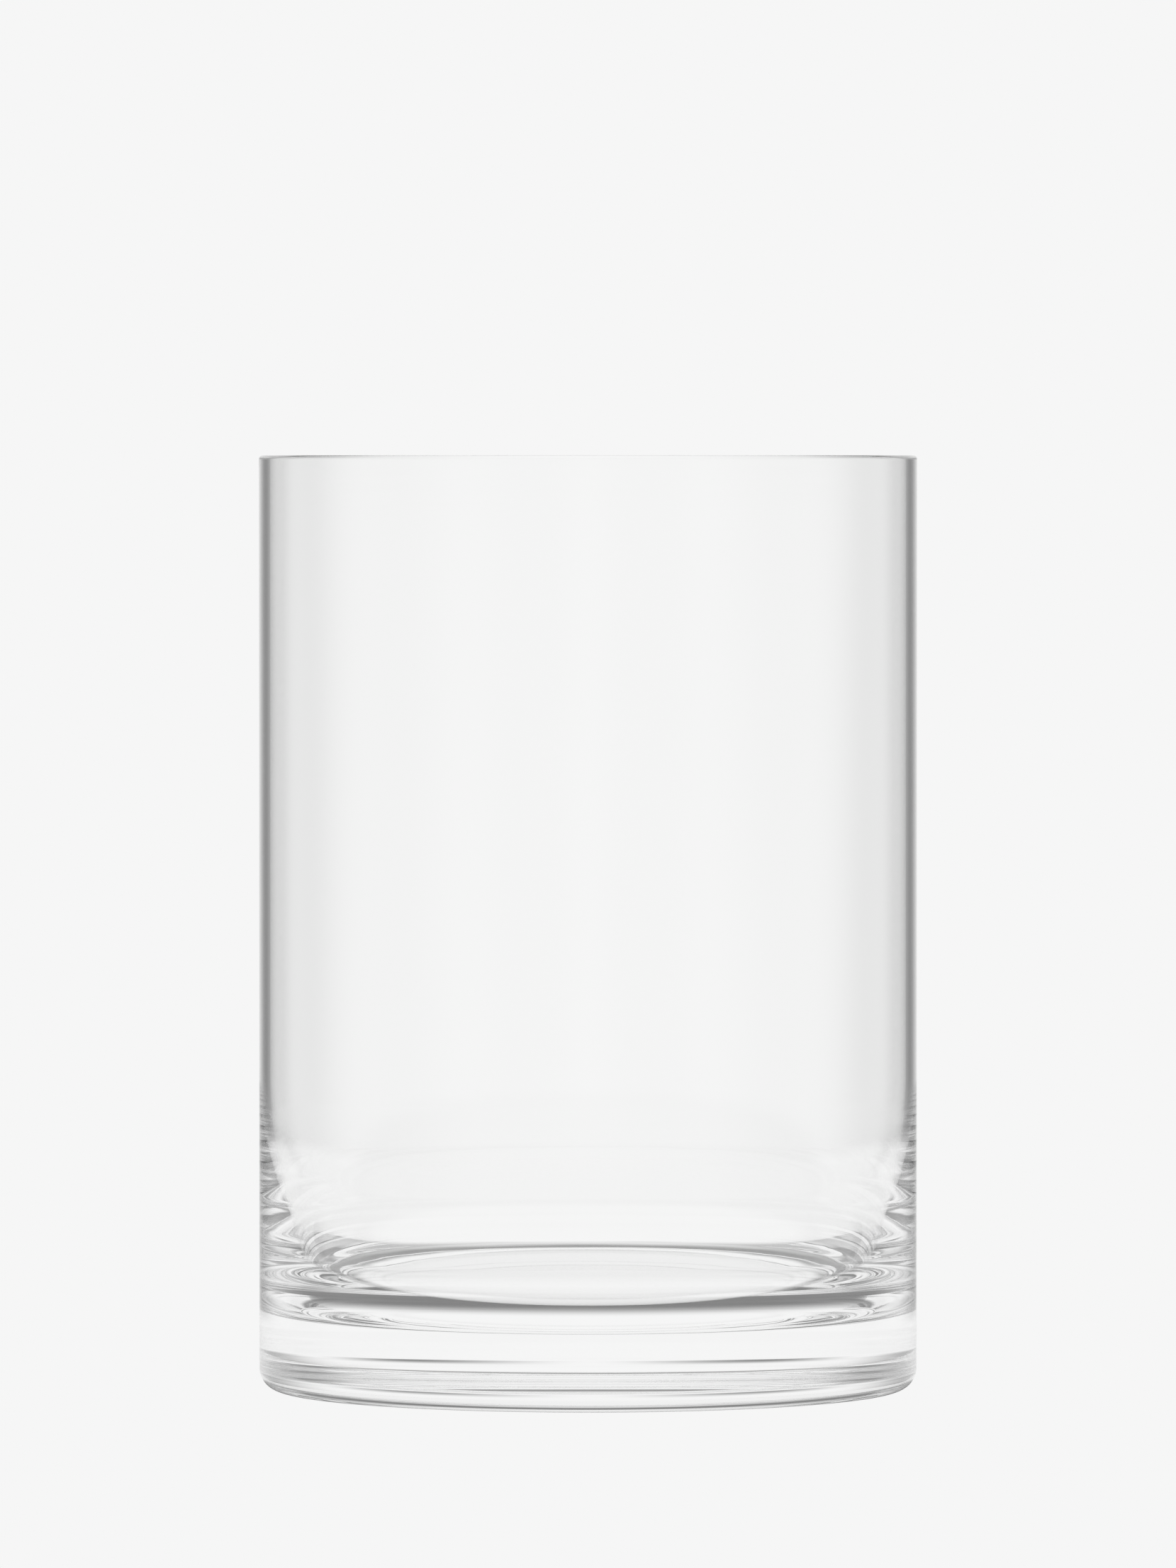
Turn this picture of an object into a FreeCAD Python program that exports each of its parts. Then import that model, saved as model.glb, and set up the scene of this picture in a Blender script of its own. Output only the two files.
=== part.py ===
"""Glass cylinder vase: one piece of clear glass with a straight wall and a heavy base.

The vase is a solid of revolution about +Z. Its origin is the centre of its flat underside.
Sizes are in millimetres and are read from the spreadsheet "Dimensions".
"""
import FreeCAD, Part
import math
import os
import Sketcher

DIMENSIONS = (
    ("height", 240.0, "from the underside to the rim"),
    ("outer_radius", 84.5, "outside of the straight wall"),
    ("wall_thickness", 2.8, "straight wall, up to the rim"),
    ("rim_round", 1.1, "polished edges of the rim"),
    ("base_thickness", 18.5, "solid glass under the floor of the inside"),
    ("haunch_height", 80.0, "level below which the inside wall leans in to the base"),
    ("haunch_radius", 200.0, "long curve of the inside wall above the base"),
    ("floor_fillet", 22.0, "corner between the inside wall and the floor"),
    ("foot_round", 5.6, "corner between the outside wall and the underside"),
)

# Sketcher's names for its own geometry and for the points of an edge.
HORIZONTAL_AXIS, VERTICAL_AXIS = -1, -2
START, END = 1, 2


def make_sheet(doc):
    """Keep the driving dimensions in a spreadsheet, each under an alias."""
    sheet = doc.addObject("Spreadsheet::Sheet", "Dimensions")
    for row, (alias, value, meaning) in enumerate(DIMENSIONS, start=1):
        sheet.set(f"A{row}", alias)
        sheet.set(f"B{row}", str(value))
        sheet.set(f"C{row}", meaning)
        sheet.setAlias(f"B{row}", alias)
    doc.recompute()
    return sheet


def line(start, end):
    """Straight edge of the section between two (radius, level) points."""
    return Part.LineSegment(FreeCAD.Vector(*start, 0), FreeCAD.Vector(*end, 0))


def arc(centre, radius, first_deg, last_deg):
    """Round edge of the section, anticlockwise from one direction to the other."""
    circle = Part.Circle(FreeCAD.Vector(*centre, 0), FreeCAD.Vector(0, 0, 1), radius)
    return Part.ArcOfCircle(circle, math.radians(first_deg), math.radians(last_deg))


def draw_section(sketch, sheet):
    """Draw the half section near its final shape and return each edge's number by name."""
    outside = sheet.outer_radius
    top = sheet.height
    inside = outside - sheet.wall_thickness
    rim_low = top - sheet.rim_round
    rim_inside = inside + sheet.rim_round
    flat_radius = outside - sheet.foot_round
    haunch_centre = (inside - sheet.haunch_radius, sheet.haunch_height)
    fillet_level = sheet.base_thickness + sheet.floor_fillet
    lean = math.asin((sheet.haunch_height - fillet_level) / (sheet.haunch_radius - sheet.floor_fillet))
    lean_deg = math.degrees(lean)
    fillet_shift = (sheet.haunch_radius - sheet.floor_fillet) * math.cos(lean)
    fillet_centre = (haunch_centre[0] + fillet_shift, fillet_level)
    edges = {
        "underside": line((0, 0), (flat_radius, 0)),
        "foot": arc((flat_radius, sheet.foot_round), sheet.foot_round, -90, 0),
        "outer_wall": line((outside, sheet.foot_round), (outside, rim_low)),
        "rim_outer": arc((outside - sheet.rim_round, rim_low), sheet.rim_round, 0, 90),
        "rim_top": line((outside - sheet.rim_round, top), (rim_inside, top)),
        "rim_inner": arc((rim_inside, rim_low), sheet.rim_round, 90, 180),
        "inner_wall": line((inside, rim_low), (inside, sheet.haunch_height)),
        "haunch": arc(haunch_centre, sheet.haunch_radius, -lean_deg, 0),
        "fillet": arc(fillet_centre, sheet.floor_fillet, -90, -lean_deg),
        "floor": line((fillet_centre[0], sheet.base_thickness), (0, sheet.base_thickness)),
        "axis": line((0, sheet.base_thickness), (0, 0)),
    }
    return {name: sketch.addGeometry(edge, False) for name, edge in edges.items()}


def join_section(sketch, edge):
    """Close the outline: smooth joins everywhere except on the axis."""
    def add(kind, *where):
        sketch.addConstraint(Sketcher.Constraint(kind, *where))

    add("Tangent", edge["underside"], END, edge["foot"], START)
    add("Tangent", edge["foot"], END, edge["outer_wall"], START)
    add("Tangent", edge["outer_wall"], END, edge["rim_outer"], START)
    add("Tangent", edge["rim_outer"], END, edge["rim_top"], START)
    add("Tangent", edge["rim_top"], END, edge["rim_inner"], START)
    add("Tangent", edge["rim_inner"], END, edge["inner_wall"], START)
    add("Tangent", edge["inner_wall"], END, edge["haunch"], END)
    add("Tangent", edge["haunch"], START, edge["fillet"], END)
    add("Tangent", edge["fillet"], START, edge["floor"], START)
    add("Coincident", edge["floor"], END, edge["axis"], START)
    add("Coincident", edge["axis"], END, edge["underside"], START)
    add("Vertical", edge["outer_wall"])
    add("Vertical", edge["inner_wall"])
    add("Horizontal", edge["rim_top"])
    add("Horizontal", edge["floor"])
    add("Equal", edge["rim_outer"], edge["rim_inner"])
    add("Coincident", edge["underside"], START, HORIZONTAL_AXIS, START)
    add("PointOnObject", edge["underside"], END, HORIZONTAL_AXIS)
    add("PointOnObject", edge["axis"], START, VERTICAL_AXIS)


def size_section(sketch, sheet, edge):
    """Give the outline its sizes, each bound to the spreadsheet."""
    def bind(kind, formula, *where):
        value = sketch.evalExpression(formula)
        index = sketch.addConstraint(Sketcher.Constraint(kind, *where, float(value)))
        sketch.setExpression(f"Constraints[{index}]", formula)

    root = (HORIZONTAL_AXIS, START)
    name = sheet.Name
    bind("DistanceY", f"{name}.height", *root, edge["rim_top"], START)
    bind("DistanceX", f"{name}.outer_radius", *root, edge["outer_wall"], START)
    bind("DistanceX", f"{name}.wall_thickness", edge["inner_wall"], END, edge["outer_wall"], START)
    bind("DistanceY", f"{name}.haunch_height", *root, edge["inner_wall"], END)
    bind("DistanceY", f"{name}.base_thickness", *root, edge["floor"], END)
    bind("Radius", f"{name}.rim_round", edge["rim_outer"])
    bind("Radius", f"{name}.foot_round", edge["foot"])
    bind("Radius", f"{name}.haunch_radius", edge["haunch"])
    bind("Radius", f"{name}.floor_fillet", edge["fillet"])


def make_vase(doc, sheet):
    """Turn the half section about the axis into the one piece of glass."""
    body = doc.addObject("PartDesign::Body", "GlassVase")
    body.Label = "glass_vase"
    sketch = body.newObject("Sketcher::SketchObject", "HalfSection")
    section_plane = next(f for f in body.Origin.OriginFeatures if f.Role == "XZ_Plane")
    sketch.AttachmentSupport = [(section_plane, "")]
    sketch.MapMode = "FlatFace"
    doc.recompute()
    edge = draw_section(sketch, sheet)
    join_section(sketch, edge)
    size_section(sketch, sheet, edge)
    doc.recompute()
    if not sketch.FullyConstrained:
        raise RuntimeError("the half section is not fully constrained")
    turned = body.newObject("PartDesign::Revolution", "TurnedGlass")
    turned.Profile = sketch
    turned.ReferenceAxis = (sketch, ["V_Axis"])
    turned.Angle = 360
    body.Placement = FreeCAD.Placement()
    return body


def check(doc, pieces):
    """Stop before anything is written if an object failed or a shape isn't valid."""
    for item in doc.Objects:
        if "Invalid" in item.State or "Error" in item.State:
            raise RuntimeError(f"{item.Name} failed: {item.State}")
    for piece in pieces:
        if piece.Shape.isNull() or not piece.Shape.isValid():
            raise RuntimeError(f"{piece.Label} has no valid shape")


def report(piece):
    """Print the piece's size and volume."""
    box = piece.Shape.optimalBoundingBox()
    size = f"{box.XLength:.1f} x {box.YLength:.1f} x {box.ZLength:.1f} mm"
    print(f"{piece.Label}: {size}, {piece.Shape.Volume / 1000:.0f} cm3, {len(piece.Shape.Solids)} solid")


def main():
    doc = FreeCAD.newDocument("glass_cylinder_vase")
    sheet = make_sheet(doc)
    pieces = [make_vase(doc, sheet)]
    doc.recompute()
    check(doc, pieces)
    os.makedirs("parts", exist_ok=True)
    for piece in pieces:
        report(piece)
        piece.Shape.exportStep(os.path.join("parts", piece.Label + ".step"))


main()
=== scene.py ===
"""Clear glass cylinder vase on a pale table, in front of an evenly lit white backdrop.

The frame supplies the height and the outer radius. The vase is remade here as one turned mesh
with exact normals, because refraction shows the facets of a coarser one.
"""
import math

import bpy
import numpy as np
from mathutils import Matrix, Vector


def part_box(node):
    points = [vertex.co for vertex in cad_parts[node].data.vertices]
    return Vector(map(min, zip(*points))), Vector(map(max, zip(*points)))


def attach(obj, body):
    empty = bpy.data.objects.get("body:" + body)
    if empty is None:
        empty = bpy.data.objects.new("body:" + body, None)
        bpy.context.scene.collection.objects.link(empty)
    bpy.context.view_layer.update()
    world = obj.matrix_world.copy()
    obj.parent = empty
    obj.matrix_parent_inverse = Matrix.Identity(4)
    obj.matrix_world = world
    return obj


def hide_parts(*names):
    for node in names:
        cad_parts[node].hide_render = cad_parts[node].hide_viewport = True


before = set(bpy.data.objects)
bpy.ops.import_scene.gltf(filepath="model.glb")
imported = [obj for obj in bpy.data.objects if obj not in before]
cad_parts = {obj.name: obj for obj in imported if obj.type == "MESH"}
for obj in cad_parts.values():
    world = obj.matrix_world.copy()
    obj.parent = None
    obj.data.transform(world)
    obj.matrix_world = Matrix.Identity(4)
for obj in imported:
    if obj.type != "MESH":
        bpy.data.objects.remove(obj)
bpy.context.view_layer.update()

NODE_LOW, NODE_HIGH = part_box("glass_vase")

# The section of the vase, as in the CAD model.
MM = 0.001
HEIGHT = NODE_HIGH[2] - NODE_LOW[2]
OUTER_RADIUS = (NODE_HIGH[0] - NODE_LOW[0]) / 2
WALL = 2.8 * MM
RIM_ROUND = 1.1 * MM
BASE = 18.5 * MM
HAUNCH_HEIGHT = 80.0 * MM
HAUNCH_RADIUS = 200.0 * MM
FLOOR_FILLET = 22.0 * MM
FOOT_ROUND = 5.6 * MM
INNER_RADIUS = OUTER_RADIUS - WALL
QUARTER = math.pi / 2

# How finely the vase is cut: steps round it, and steps along each part of its section.
SEGMENTS = 360
UNDERSIDE_STEPS = 4
FOOT_STEPS = 18
OUTSIDE_STEPS = 12
RIM_STEPS = 8
RIM_TOP_STEPS = 3
INSIDE_STEPS = 46
HAUNCH_STEPS = 30
FILLET_STEPS = 26
FLOOR_STEPS = 4

# The glass: nearly colourless, with a ripple drawn out round the wall and stronger near the rim
# and the base, and a few marks that are slightly less polished.
GLASS_TINT = (0.998, 0.999, 0.998, 1)
RIPPLE_STRETCH = (1, 1, 14)
RIPPLE_SCALE = 14.0
RIPPLE_DEPTH = 0.05 * MM
RIPPLE_FAINT = 0.04
RIPPLE_STRONG = 0.2
RIPPLE_DETAIL = 2.0
RIM_BAND_START, RIM_BAND_END = HEIGHT - 60 * MM, HEIGHT - 10 * MM
BASE_BAND_START, BASE_BAND_END = 92 * MM, 55 * MM
SLAB_START, SLAB_END = 30 * MM, 22 * MM
MARK_SCALE = 90.0
MARK_DETAIL = 3.0
MARK_START, MARK_END = 0.55, 0.8
MARK_ROUGHNESS = 0.01
REFRACTIVE_INDEX = 1.5

# The camera is level with the rim, far off, and tilted down to the middle of the picture.
SENSOR = 36.0
LENS = 281.2
TILT_DOWN = math.radians(1.538)
CAMERA_DISTANCE = 3.145
CLIP_END = 200

# The white of the table and the backdrop, and enough bounces for light caught in the solid base.
WHITE = 0.9216
GLASS_BOUNCES = 200
TRANSPARENT_BOUNCES = 32


def straight(start, end, count, normal):
    """Section points (radius, level, normal angle) from start up to, but not including, end."""
    return [(start[0] + (end[0] - start[0]) * s, start[1] + (end[1] - start[1]) * s, normal)
            for s in np.arange(count) / count]


def rounded(centre, radius, first, last, count, hollow=False):
    """Section points round an arc up to, but not including, its last angle."""
    flip = math.pi if hollow else 0
    return [(centre[0] + radius * math.cos(a), centre[1] + radius * math.sin(a), a + flip)
            for a in first + (last - first) * np.arange(count) / count]


def outside_section():
    """From the middle of the underside, round the foot, up the outside and over the rim."""
    flat_radius = OUTER_RADIUS - FOOT_ROUND
    rim_low = HEIGHT - RIM_ROUND
    points = straight((0, 0), (flat_radius, 0), UNDERSIDE_STEPS, -QUARTER)
    points += rounded((flat_radius, FOOT_ROUND), FOOT_ROUND, -QUARTER, 0, FOOT_STEPS)
    points += straight((OUTER_RADIUS, FOOT_ROUND), (OUTER_RADIUS, rim_low), OUTSIDE_STEPS, 0)
    points += rounded((OUTER_RADIUS - RIM_ROUND, rim_low), RIM_ROUND, 0, QUARTER,
                      RIM_STEPS)
    return points


def inside_section():
    """From the top of the rim, down the inside and over the floor to the axis."""
    rim_low = HEIGHT - RIM_ROUND
    fillet_level = BASE + FLOOR_FILLET
    lean = math.asin((HAUNCH_HEIGHT - fillet_level) / (HAUNCH_RADIUS - FLOOR_FILLET))
    haunch_centre = (INNER_RADIUS - HAUNCH_RADIUS, HAUNCH_HEIGHT)
    fillet_reach = (HAUNCH_RADIUS - FLOOR_FILLET) * math.cos(lean)
    fillet_centre = (haunch_centre[0] + fillet_reach, fillet_level)
    points = straight((OUTER_RADIUS - RIM_ROUND, HEIGHT), (INNER_RADIUS + RIM_ROUND, HEIGHT),
                      RIM_TOP_STEPS, QUARTER)
    points += rounded((INNER_RADIUS + RIM_ROUND, rim_low), RIM_ROUND, QUARTER, math.pi,
                      RIM_STEPS)
    points += straight((INNER_RADIUS, rim_low), (INNER_RADIUS, HAUNCH_HEIGHT), INSIDE_STEPS,
                       math.pi)
    points += rounded(haunch_centre, HAUNCH_RADIUS, 0, -lean, HAUNCH_STEPS, hollow=True)
    points += rounded(fillet_centre, FLOOR_FILLET, -lean, -QUARTER, FILLET_STEPS, hollow=True)
    points += straight((fillet_centre[0], BASE), (0, BASE), FLOOR_STEPS, QUARTER)
    return points


def turn(name, outside, inside):
    """Turn the section into a mesh whose normals are worked out, not averaged from its faces."""
    section = np.array(outside[1:] + inside)
    around = np.arange(SEGMENTS) * 2 * math.pi / SEGMENTS
    angle, radius = np.meshgrid(around, section[:, 0])
    level = np.repeat(section[:, 1:2], SEGMENTS, axis=1)
    lean = np.repeat(section[:, 2:3], SEGMENTS, axis=1)
    normals = np.stack([np.cos(lean) * np.cos(angle), np.cos(lean) * np.sin(angle), np.sin(lean)],
                       axis=-1)
    points = np.stack([radius * np.cos(angle), radius * np.sin(angle), level], axis=-1)
    points = np.vstack([points.reshape(-1, 3), [0, 0, 0], [0, 0, BASE]])
    normals = np.vstack([normals.reshape(-1, 3), [0, 0, -1], [0, 0, 1]])
    first = np.arange(SEGMENTS)
    after = (first + 1) % SEGMENTS
    faces = []
    for ring in range(len(section) - 1):
        low, high = ring * SEGMENTS, (ring + 1) * SEGMENTS
        faces += np.stack([low + first, low + after, high + after, high + first], axis=-1).tolist()
    under, floor, last = len(points) - 2, len(points) - 1, (len(section) - 1) * SEGMENTS
    faces += [(under, b, a) for a, b in zip(first.tolist(), after.tolist())]
    faces += [(floor, last + a, last + b) for a, b in zip(first.tolist(), after.tolist())]
    mesh = bpy.data.meshes.new(name)
    mesh.from_pydata(points.tolist(), [], faces)
    mesh.shade_smooth()
    mesh.normals_split_custom_set_from_vertices(normals.tolist())
    piece = bpy.data.objects.new(name, mesh)
    bpy.context.scene.collection.objects.link(piece)
    return piece


class Graph:
    """Short calls for building a node tree."""

    def __init__(self, tree):
        self.tree = tree
        tree.nodes.clear()

    def node(self, kind, **settings):
        made = self.tree.nodes.new(kind)
        for key, value in settings.items():
            setattr(made, key, value)
        return made

    def feed(self, socket, value):
        if isinstance(value, bpy.types.NodeSocket):
            self.tree.links.new(value, socket)
        else:
            socket.default_value = value

    def math(self, operation, *inputs):
        made = self.node("ShaderNodeMath", operation=operation)
        for socket, value in zip(made.inputs, inputs):
            self.feed(socket, value)
        return made.outputs[0]

    def smooth(self, value, start, end):
        """0 at start and 1 at end, eased at both."""
        made = self.node("ShaderNodeMapRange", interpolation_type="SMOOTHSTEP")
        self.feed(made.inputs[0], value)
        made.inputs[1].default_value = start
        made.inputs[2].default_value = end
        return made.outputs[0]

    def blend(self, share, first, second):
        made = self.node("ShaderNodeMix", data_type="FLOAT")
        self.feed(made.inputs[0], share)
        self.feed(made.inputs[2], first)
        self.feed(made.inputs[3], second)
        return made.outputs[0]

    def noise(self, vector, scale, detail):
        made = self.node("ShaderNodeTexNoise")
        made.inputs["Scale"].default_value = scale
        made.inputs["Detail"].default_value = detail
        self.feed(made.inputs["Vector"], vector)
        return made.outputs["Fac"]

    def split(self, vector):
        made = self.node("ShaderNodeSeparateXYZ")
        self.feed(made.inputs[0], vector)
        return made.outputs


def glass_material():
    """Clear soda glass: polished, with the faint drawn ripple and the fine marks of blown ware."""
    material = bpy.data.materials.new("clear_glass")
    material.use_nodes = True
    g = Graph(material.node_tree)
    out = g.node("ShaderNodeOutputMaterial")
    glass = g.node("ShaderNodeBsdfPrincipled")
    glass.inputs["Base Color"].default_value = GLASS_TINT
    glass.inputs["IOR"].default_value = REFRACTIVE_INDEX
    glass.inputs["Transmission Weight"].default_value = 1.0
    coord = g.node("ShaderNodeTexCoord")
    drawn = g.node("ShaderNodeMapping")
    drawn.inputs["Scale"].default_value = RIPPLE_STRETCH
    g.feed(drawn.inputs["Vector"], coord.outputs["Object"])
    ripple = g.noise(drawn.outputs["Vector"], RIPPLE_SCALE, RIPPLE_DETAIL)
    height = g.split(coord.outputs["Object"])[2]
    near_rim = g.smooth(height, RIM_BAND_START, RIM_BAND_END)
    near_base = g.math("SUBTRACT", g.smooth(height, BASE_BAND_START, BASE_BAND_END),
                       g.smooth(height, SLAB_START, SLAB_END))
    bands = g.math("MAXIMUM", near_rim, near_base)
    strength = g.math("ADD", g.math("MULTIPLY", bands, RIPPLE_STRONG), RIPPLE_FAINT)
    bump = g.node("ShaderNodeBump")
    bump.inputs["Distance"].default_value = RIPPLE_DEPTH
    g.feed(bump.inputs["Height"], ripple)
    g.feed(bump.inputs["Strength"], strength)
    g.feed(glass.inputs["Normal"], bump.outputs["Normal"])
    marks = g.noise(coord.outputs["Object"], MARK_SCALE, MARK_DETAIL)
    marked = g.smooth(marks, MARK_START, MARK_END)
    g.feed(glass.inputs["Roughness"], g.math("MULTIPLY", marked, MARK_ROUGHNESS))
    g.feed(out.inputs["Surface"], glass.outputs["BSDF"])
    return material


# The studio, in degrees round from straight behind the vase and the same on both sides. Below the
# horizon all is white table. Above it the white backdrop fades into a dim room at its sides and at
# its top edge. The room is lighter at the end behind the camera, and there is a top light.
HORIZON_START, HORIZON_END = -0.4, 3
FADE_START, FADE_END = 35, 75
EDGE_START, EDGE_END = 20, 28
ROOM_LEVEL = 0.2
LIT_END_START, LIT_END_FULL = 100, 140
LIT_END_LEVEL = 0.6
TOP_START, TOP_END = 28, 42
# Dark cards stand each side of straight behind, to darken the edges of the glass, and again each
# side of every quarter turn. They grow fainter towards the back and end a little above the horizon.
CARD_CENTRE, CARD_REACH = 22, 22
CARD_LEVEL = 0.25
OTHER_CARD_LEVEL = 0.92
FAINTER_START, FAINTER_END = 20, 95
CARD_TOP = 6
HALF_BETWEEN_VIEWS = 45


def studio_world():
    """White table and backdrop, dark cards, a dim room, a top light; plain white to the camera."""
    world = bpy.data.worlds.new("studio")
    bpy.context.scene.world = world
    world.use_nodes = True
    g = Graph(world.node_tree)
    out = g.node("ShaderNodeOutputWorld")
    coord = g.node("ShaderNodeTexCoord")
    x, y, z = g.split(coord.outputs["Generated"])
    degrees = g.math("DEGREES", g.math("ABSOLUTE", g.math("ARCTAN2", x, y)))
    elevation = g.math("DEGREES", g.math("ARCSINE", z))
    off_backdrop = g.math("MAXIMUM", g.smooth(degrees, FADE_START, FADE_END),
                          g.smooth(elevation, EDGE_START, EDGE_END))
    room = g.blend(g.smooth(degrees, LIT_END_START, LIT_END_FULL), ROOM_LEVEL, LIT_END_LEVEL)
    above = g.blend(off_backdrop, 1.0, room)
    around = g.blend(g.smooth(elevation, HORIZON_START, HORIZON_END), 1.0, above)
    from_straight = g.math("PINGPONG", degrees, HALF_BETWEEN_VIEWS)
    off_centre = g.math("ABSOLUTE", g.math("SUBTRACT", from_straight, CARD_CENTRE))
    card = g.smooth(off_centre, CARD_REACH, 0)
    card = g.math("MULTIPLY", card, g.smooth(elevation, CARD_TOP, 0))
    darkness = g.blend(g.smooth(degrees, FAINTER_START, FAINTER_END), CARD_LEVEL, OTHER_CARD_LEVEL)
    around = g.math("MULTIPLY", around, g.blend(card, 1.0, darkness))
    level = g.blend(g.smooth(elevation, TOP_START, TOP_END), around, 1.0)
    lit = g.node("ShaderNodeBackground")
    path = g.node("ShaderNodeLightPath")
    g.feed(lit.inputs[0], g.blend(path.outputs["Is Camera Ray"], level, 1.0))
    lit.inputs[1].default_value = WHITE
    g.feed(out.inputs["Surface"], lit.outputs[0])


# The vase's own shadow on the table, in millimetres from the axis: darkest under the rounded foot,
# lit through the floor in the middle, less so at the back, and gone a little way outside.
FLOOR_LIGHT_END, FOOT_SHADE_START = 64, 76
SHADOW_START, SHADOW_END = 84, 90
FOOT_SHADE = 0.2
BACK_FLOOR = 0.8
BACK_BLEND = 20
# Close to the vase the table hides the cards from what is low in the glass.
HIDES_TO, HIDES_FADED = 270, 360
TABLE_RADIUS = 60.0
TABLE_SIDES = 128
TABLE_GAP = 0.2 * MM


def table():
    """Plain white to the camera, with the vase's own shadow for what is seen through the glass."""
    bpy.ops.mesh.primitive_circle_add(vertices=TABLE_SIDES, radius=TABLE_RADIUS, fill_type="NGON",
                                      location=(0, 0, -TABLE_GAP))
    top = bpy.context.object
    top.name = "table"
    material = bpy.data.materials.new("table")
    material.use_nodes = True
    g = Graph(material.node_tree)
    out = g.node("ShaderNodeOutputMaterial")
    glow = g.node("ShaderNodeEmission")
    glow.inputs[0].default_value = (1, 1, 1, 1)
    glow.inputs[1].default_value = WHITE
    coord = g.node("ShaderNodeTexCoord")
    spread = g.node("ShaderNodeVectorMath", operation="LENGTH")
    g.feed(spread.inputs[0], coord.outputs["Object"])
    from_axis = g.math("MULTIPLY", spread.outputs["Value"], 1 / MM)
    behind = g.smooth(g.split(coord.outputs["Object"])[1], -BACK_BLEND * MM, BACK_BLEND * MM)
    floor_light = g.math("MULTIPLY", g.smooth(from_axis, FOOT_SHADE_START, FLOOR_LIGHT_END),
                         g.blend(behind, 1.0, BACK_FLOOR))
    outside = g.smooth(from_axis, SHADOW_START, SHADOW_END)
    shade = g.blend(g.math("MAXIMUM", floor_light, outside), FOOT_SHADE, 1.0)
    near = g.smooth(from_axis, HIDES_FADED, HIDES_TO)
    through = g.node("ShaderNodeBsdfTransparent")
    g.feed(through.inputs[0], shade)
    path = g.node("ShaderNodeLightPath")
    mix = g.node("ShaderNodeMixShader")
    g.feed(mix.inputs[0], path.outputs["Is Camera Ray"])
    shaded = g.node("ShaderNodeEmission")
    g.feed(shaded.inputs[0], shade)
    shaded.inputs[1].default_value = WHITE
    seen = g.node("ShaderNodeMixShader")
    g.feed(seen.inputs[0], near)
    g.feed(seen.inputs[1], through.outputs[0])
    g.feed(seen.inputs[2], shaded.outputs[0])
    g.feed(mix.inputs[1], seen.outputs[0])
    g.feed(mix.inputs[2], glow.outputs[0])
    g.feed(out.inputs["Surface"], mix.outputs[0])
    top.data.materials.append(material)


def camera():
    data = bpy.data.cameras.new("camera")
    data.sensor_fit = "VERTICAL"
    data.sensor_height = SENSOR
    data.lens = LENS
    data.clip_end = CLIP_END
    cam = bpy.data.objects.new("camera", data)
    cam.location = (0, -CAMERA_DISTANCE, HEIGHT)
    cam.rotation_euler = (QUARTER - TILT_DOWN, 0, 0)
    bpy.context.scene.collection.objects.link(cam)
    bpy.context.scene.camera = cam


vase = turn("vase", outside_section(), inside_section())
vase.data.materials.append(glass_material())
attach(vase, "root")
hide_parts("glass_vase")
studio_world()
table()
camera()
scene = bpy.context.scene
scene.view_settings.view_transform = "Standard"
scene.cycles.max_bounces = GLASS_BOUNCES
scene.cycles.glossy_bounces = GLASS_BOUNCES
scene.cycles.transmission_bounces = GLASS_BOUNCES
scene.cycles.transparent_max_bounces = TRANSPARENT_BOUNCES
